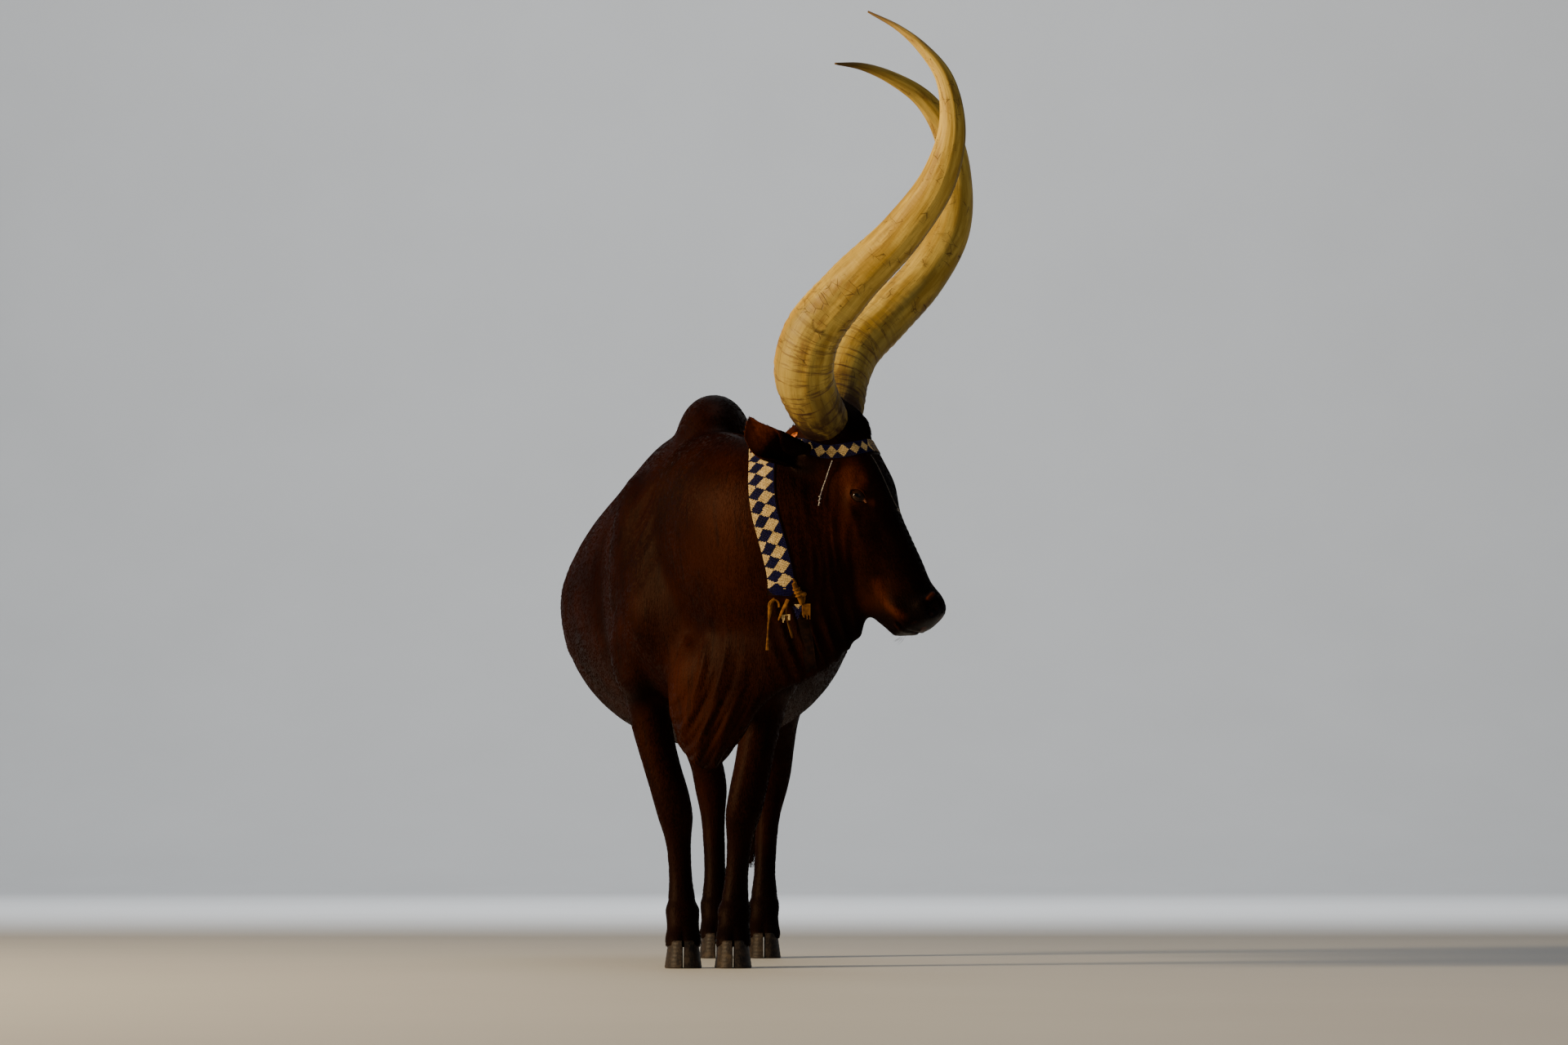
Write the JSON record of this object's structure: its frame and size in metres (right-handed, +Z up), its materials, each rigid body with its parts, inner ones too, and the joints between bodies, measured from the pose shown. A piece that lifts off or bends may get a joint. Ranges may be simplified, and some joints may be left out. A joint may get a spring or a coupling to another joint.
{
  "type": "ankole-watusi cattle",
  "caption": "Life-size standing Ankole-Watusi bull with tall lyre horns, head turned aside, wearing a beaded headband and a beaded neck strap.",
  "frame": {"origin": "middle of the bounding box's floor, at the level of the soles", "axes": "+Z up, +X to the bull's own left, +Y towards its tail; the body faces -Y and the head is turned towards +X"},
  "size_m": [1.0296, 2.423, 2.2212],
  "materials": {
    "hide": "short sleek hair",
    "horn": "keratin, satin",
    "hoof": "dark keratin",
    "eye": "wet gloss",
    "ear_tag": "moulded",
    "beadwork": "small glass beads sewn on a strap",
    "leather": "raw thong",
    "bead_string": "strung beads"
  },
  "bodies": {
    "root": {"torso": "hide", "neck": "hide", "head": "hide", "dewlap": "hide", "hump": "hide", "foreleg_right": "hide", "foreleg_left": "hide", "hindleg_right": "hide", "hindleg_left": "hide", "tail": "hide", "tail_switch": "hide", "scrotum": "hide", "sheath": "hide", "ear_right": "hide", "ear_left": "hide", "horn_right": "horn", "horn_left": "horn", "eye_right": "eye", "eye_left": "eye", "ear_tag": "ear_tag", "hoof_fore_right_a": "hoof", "hoof_fore_right_b": "hoof", "hoof_fore_left_a": "hoof", "hoof_fore_left_b": "hoof", "hoof_hind_right_a": "hoof", "hoof_hind_right_b": "hoof", "hoof_hind_left_a": "hoof", "hoof_hind_left_b": "hoof", "dewclaw_fore_right_a": "hoof", "dewclaw_fore_right_b": "hoof", "dewclaw_fore_left_a": "hoof", "dewclaw_fore_left_b": "hoof", "dewclaw_hind_right_a": "hoof", "dewclaw_hind_right_b": "hoof", "dewclaw_hind_left_a": "hoof", "dewclaw_hind_left_b": "hoof", "headband": "beadwork", "neck_strap": "beadwork", "strap_knot": "leather", "thong_long": "leather", "thong_wide": "leather", "thong_short": "leather", "cheek_string": "bead_string", "brow_string": "bead_string"}
  },
  "joints": []
}
